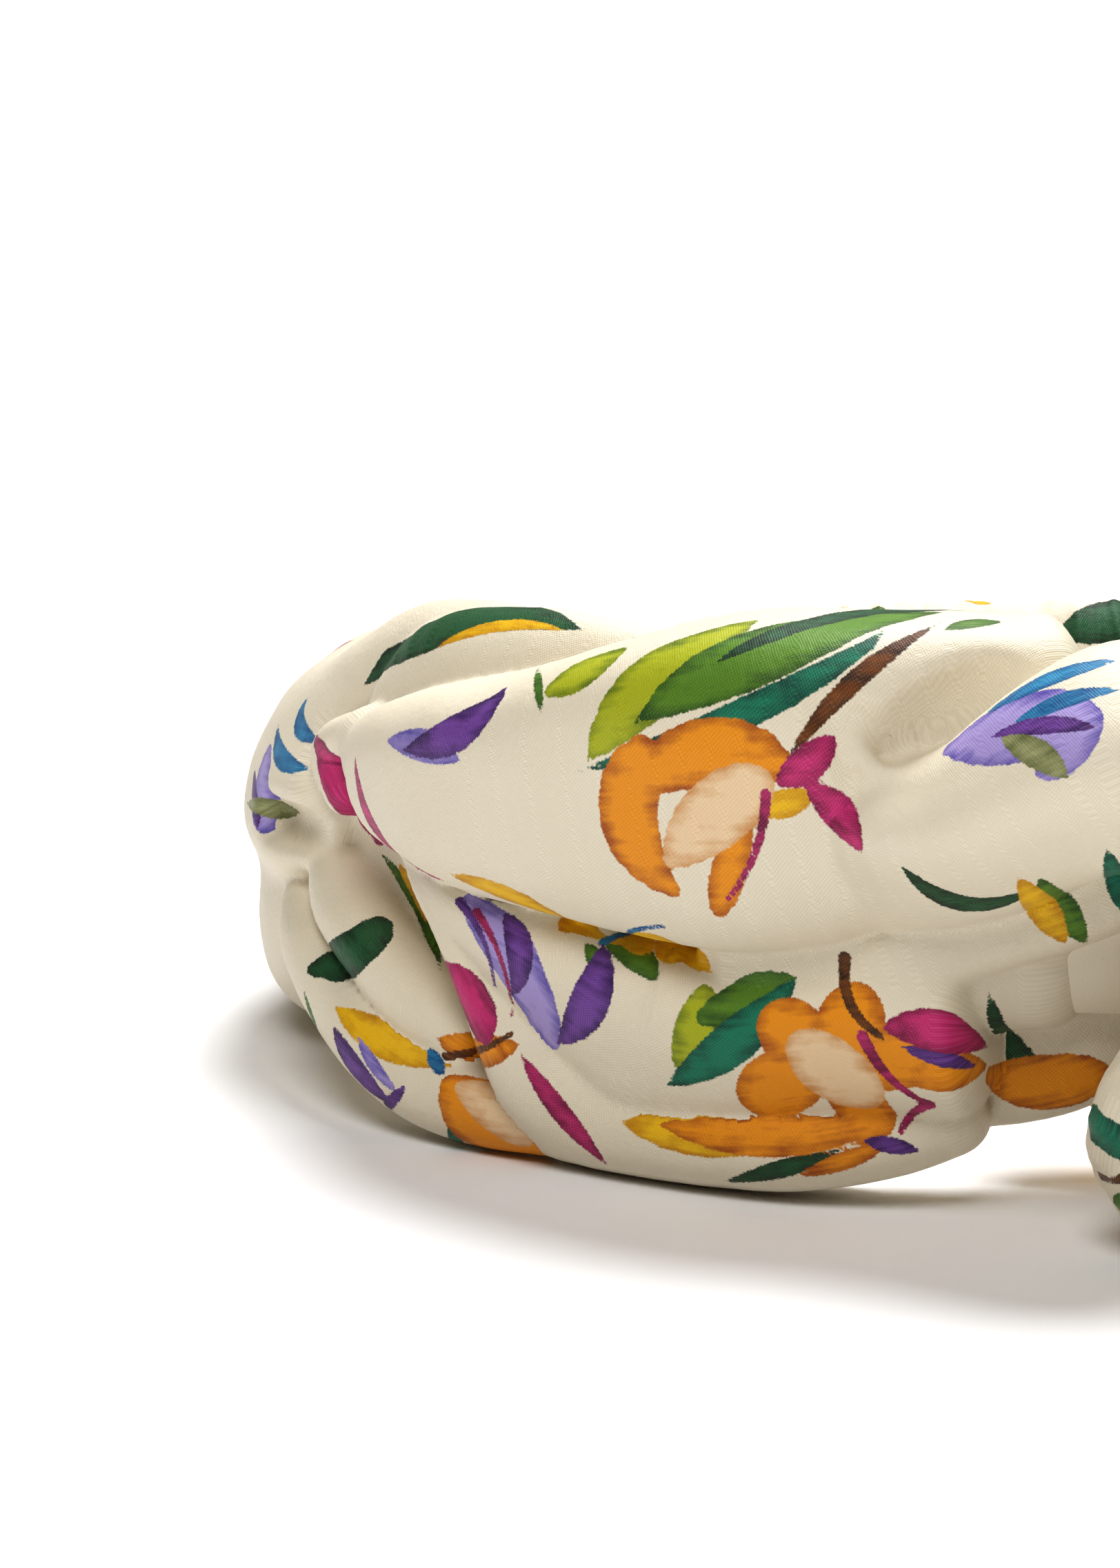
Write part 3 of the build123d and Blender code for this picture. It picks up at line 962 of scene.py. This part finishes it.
def close_ends(mesh):
    """Fills the two open ends of a tube."""
    shape = bmesh.new()
    shape.from_mesh(mesh)
    bmesh.ops.holes_fill(shape, edges=[e for e in shape.edges if e.is_boundary])
    shape.to_mesh(mesh)
    shape.free()


# The ruched casing and the elastic, across the back from the left band to the right one
CASING_FROM, CASING_TO = 137.5, 222.5
CASING_MID_Z, CASING_HALF_HEIGHT, CASING_HALF_THICK = 18.6, 17.0, 6.0
ELASTIC_FROM, ELASTIC_TO = 134.0, 226.0
ELASTIC_MID_Z, ELASTIC_WIDTH, ELASTIC_THICK = 18.0, 22.0, 1.2


def gathers(angle, turn):
    """How far the casing stands out at a place: sharp irregular gathers across the elastic."""
    around = (math.cos(turn), math.sin(turn))
    first = noise.noise(Vector((angle / 2.8, around[0] * 0.55, around[1] * 0.35)))
    second = noise.noise(Vector((angle / 1.3, around[0] * 1.1, around[1] * 0.9 + 7)))
    return 1.0 - 3.0 * abs(first) + 0.5 * second


def make_casing():
    rings, sides = ((420, 120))
    points = []
    for angle in np.linspace(CASING_FROM, CASING_TO, rings):
        centre, outward = loop_place(angle, 0.0, CASING_MID_Z)
        end = min(angle - CASING_FROM, CASING_TO - angle) / 6
        fade = min(1.0, end)
        for j in range(sides):
            turn = 2 * math.pi * j / sides
            out, up = math.cos(turn), math.sin(turn)
            proud = 1 + fade * gathers(angle, turn) / 9
            wide = (CASING_HALF_THICK - 1.6 * (1 - fade)) * (1 + 1.3 * (proud - 1))
            tall = (CASING_HALF_HEIGHT - 2.5 * (1 - fade)) * (1 + 0.35 * (proud - 1))
            points.append(centre + outward * out * wide + np.array([0, 0, up * tall]))
    points, faces = np.array(points), tube_faces(rings, sides)
    casing = mesh_piece("ruched_casing", points, faces)
    uv_by_corner(casing.data, faces, 0.3, 75.0 / sides, sides)
    painter = Painter(points, faces, np.zeros(len(points), int))
    painter.paint_sprays(CASING_OUTSIDE, inside=False, first_ink=1)
    painter.paint_sprays(CASING_INSIDE, inside=True)
    painter.paint_front(CASING_FRONT)
    painter.store(casing.data)
    casing.data.materials.append(SILK)
    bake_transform(casing)
    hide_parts("elastic_casing")
    return painter.tree


def make_elastic():
    """Flat woven elastic with lengthwise ribs."""
    rings, ribs = 120, 14
    across = np.linspace(-1, 1, 6 * ribs + 1)
    half = ELASTIC_THICK / 2
    rib = half * (0.78 + 0.22 * np.abs(np.sin(across * ribs * math.pi / 2)))
    rib[[0, -1]] = 0.3 * half
    outline = list(zip(rib, across)) + list(zip(-rib[::-1], across[::-1]))
    points = []
    for angle in np.linspace(ELASTIC_FROM, ELASTIC_TO, rings):
        centre, outward = loop_place(angle, 0.0, ELASTIC_MID_Z)
        for out, up in outline:
            points.append(centre + outward * out + np.array([0, 0, up * ELASTIC_WIDTH / 2]))
    sides = len(outline)
    faces = tube_faces(rings, sides)
    elastic = mesh_piece("elastic_webbing", points, faces)
    uv_by_corner(elastic.data, faces, 1.1, 46.0 / sides, sides)
    close_ends(elastic.data)
    elastic.data.materials.append(elastic_white())
    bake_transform(elastic)
    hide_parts("elastic_strip")


THREAD_RADIUS = 0.42


def thread_mesh(paths):
    """Two-ply threads along short paths, as one list of points and faces."""
    points, faces = [], []
    sides, twist = 12, 2.2
    for path in paths:
        path = np.array(path)
        first = len(points)
        tangents = np.gradient(path, axis=0)
        tangents /= np.linalg.norm(tangents, axis=1, keepdims=True)
        lengths = np.concatenate([[0], np.cumsum(np.linalg.norm(np.diff(path, axis=0), axis=1))])
        for place, tangent, length in zip(path, tangents, lengths):
            side = np.cross(tangent, [0.31, 0.22, 0.92])
            side /= np.linalg.norm(side)
            other = np.cross(tangent, side)
            for j in range(sides):
                turn = 2 * math.pi * j / sides
                radius = THREAD_RADIUS * (1 + 0.28 * math.cos(2 * turn + twist * length))
                points.append(place + radius * (math.cos(turn) * side + math.sin(turn) * other))
        faces += [tuple(int(v) + first for v in f) for f in tube_faces(len(path), sides)]
        faces.append(tuple(first + j for j in reversed(range(sides))))
        last = first + (len(path) - 1) * sides
        faces.append(tuple(last + j for j in range(sides)))
    return points, faces


def stitch_path(start, end, away, rise=0.35, steps=11):
    """A stitch that comes out of the cloth, lies over it and goes back in."""
    f = np.linspace(0, 1, steps)[:, None]
    height = rise * (1 - np.abs(2 * f - 1) ** 4) * 2 - 0.6
    return start + (end - start) * f + away * height


def nearest_hit(trees, origin, direction):
    hits = [tree.ray_cast(Vector(origin), Vector(direction)) for tree in trees]
    hits = [(hit[3], np.array(hit[0])) for hit in hits if hit[0] is not None]
    return min(hits, key=lambda hit: hit[0])[1]


JOIN_MID_Z, JOIN_LEVELS = 18, (-12.0, -8.0, -4.0, 0.0, 4.0, 8.0, 12.0)
JOIN_ANGLES = (138.6, 142.4)  # where a stitch enters the band and the casing
TACK_X, TACK_ENDS_Z = (1.0, 3.5, 6.0, 8.5), (29.0, 23.0)
TACK_THROW_Y = 20.0


def sew(name, paths, node, body):
    stitches = mesh_piece(name, *thread_mesh(paths))
    stitches.data.materials.append(THREAD)
    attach(stitches, body)
    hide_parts(node)


def make_join_stitches(side, trees, name, node, body):
    """Slanted hand stitches from the band's end to the casing, on the outside."""
    paths = []
    for k, level in enumerate(JOIN_LEVELS):
        ends = []
        for angle, lift in zip(JOIN_ANGLES, (0.9, -0.9)):
            far, outward = loop_place(side * angle, THROW, JOIN_MID_Z + level + lift)
            ends.append(nearest_hit(trees, far, -outward))
        wander = 0.3 * math.sin(2.7 * k)
        ends[1] = ends[1] + np.array([0, 0, wander])
        paths.append(stitch_path(*ends, outward))
    sew(name, paths, node, body)


def make_tack_stitches(trees):
    """Four short tacks that hold the two folds together, behind the knot."""
    paths = []
    forwards = np.array([0, -1.0, 0])
    for x in TACK_X:
        starts = [np.array([x + shift, TACK_THROW_Y, z]) for shift, z in zip((0.5, -0.5), TACK_ENDS_Z)]
        ends = [nearest_hit(trees, start, forwards) for start in starts]
        paths.append(stitch_path(*ends, -forwards))
    sew("knot_tacks", paths, "knot_tack_stitches", ROOT)


LABEL_ANGLES, LABEL_LEVELS = (-138.4, -132.0), (12.5, 26.5)
LABEL_THROW = -30.0  # from inside the loop


def make_label(tree):
    """Blank satin tab, caught at the join and slightly curled at its free edge."""
    columns, rows = 24, 36
    points = []
    for i, f in enumerate(np.linspace(0, 1, columns)):
        angle = LABEL_ANGLES[0] + f * (LABEL_ANGLES[1] - LABEL_ANGLES[0])
        for g in np.linspace(0, 1, rows):
            z = LABEL_LEVELS[0] + g * (LABEL_LEVELS[1] - LABEL_LEVELS[0])
            near, outward = loop_place(angle, LABEL_THROW, z)
            spot = nearest_hit([tree], near, outward)
            curl = 0.35 + 1.3 * f**2 + 0.25 * math.sin(5 * g + 2 * f)
            points.append(spot - outward * curl)
    points = np.array(points).reshape(columns, rows, 3)
    for _ in range(6):
        points[1:-1] = 0.5 * points[1:-1] + 0.25 * (points[:-2] + points[2:])
        points[:, 1:-1] = 0.5 * points[:, 1:-1] + 0.25 * (points[:, :-2] + points[:, 2:])
    faces = []
    for i in range(columns - 1):
        for j in range(rows - 1):
            faces.append((i * rows + j, i * rows + j + 1, (i + 1) * rows + j + 1, (i + 1) * rows + j))
    label = mesh_piece("blank_label", points.reshape(-1, 3), faces)
    solid = label.modifiers.new("cloth", "SOLIDIFY")
    solid.thickness = 0.35 * MM
    label.data.materials.append(label_satin())
    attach(label, ROOT)
    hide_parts("care_label")


left = make_left_silk()
right = make_right_silk()
casing_tree = make_casing()
make_elastic()
make_join_stitches(-1, [left.painter.tree, casing_tree], "left_join_thread", "left_join_stitches", ROOT)
make_join_stitches(
    1, [right.painter.tree, casing_tree], "right_join_thread", "right_join_stitches", RIGHT_BODY
)
make_tack_stitches([left.painter.tree, right.painter.tree])
make_label(left.painter.tree)
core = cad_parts["knot_core"]
core.data.materials.clear()
core.data.materials.append(gathered_core())


# ---- Stage, lights and camera ----

CAMERA_AIM, CAMERA_PLACE = (-0.057, -0.080, 0.0477), (0, -0.8772, 0.2171)
CAMERA_LENS = 183.2
TABLE_HALF_WIDTH = 6.0


def make_stage():
    mesh = bpy.data.meshes.new("table_top")
    far = TABLE_HALF_WIDTH
    corners = [(-far, -far, 0), (far, -far, 0), (far, far, 0), (-far, far, 0)]
    mesh.from_pydata(corners, [], [(0, 1, 2, 3)])
    mesh.materials.append(table_white())
    linked("table_top", mesh)


def aimed(name, data, place, aim):
    thing = linked(name, data)
    thing.location = place
    thing.rotation_euler = (Vector(aim) - Vector(place)).to_track_quat("-Z", "Y").to_euler()
    return thing


def area_light(name, place, aim, size, power, tint):
    data = bpy.data.lights.new(name, "AREA")
    data.shape = "DISK"
    data.size = size
    data.energy = power
    data.color = tint
    aimed(name, data, place, aim)


def make_camera():
    data = bpy.data.cameras.new("camera")
    data.lens = CAMERA_LENS
    data.sensor_width = 36
    bpy.context.scene.camera = aimed("camera", data, CAMERA_PLACE, CAMERA_AIM)


def make_world():
    world = bpy.data.worlds.new("studio")
    bpy.context.scene.world = world
    world.use_nodes = True
    background = world.node_tree.nodes["Background"]
    background.inputs["Color"].default_value = (1, 0.80, 0.52, 1)
    background.inputs["Strength"].default_value = 0.08


make_stage()
make_world()
area_light("overhead", (0.08, 0.30, 0.87), (0, 0, 0.02), 0.5, 11.5, (0.97, 0.98, 1.0))
area_light("front_fill", (-0.15, -0.8, 1.05), (0, 0, 0.03), 0.6, 7.5, (0.99, 0.99, 1.0))
bpy.context.scene.view_settings.view_transform = "Standard"
bpy.context.scene.view_settings.look = "Medium High Contrast"
make_camera()
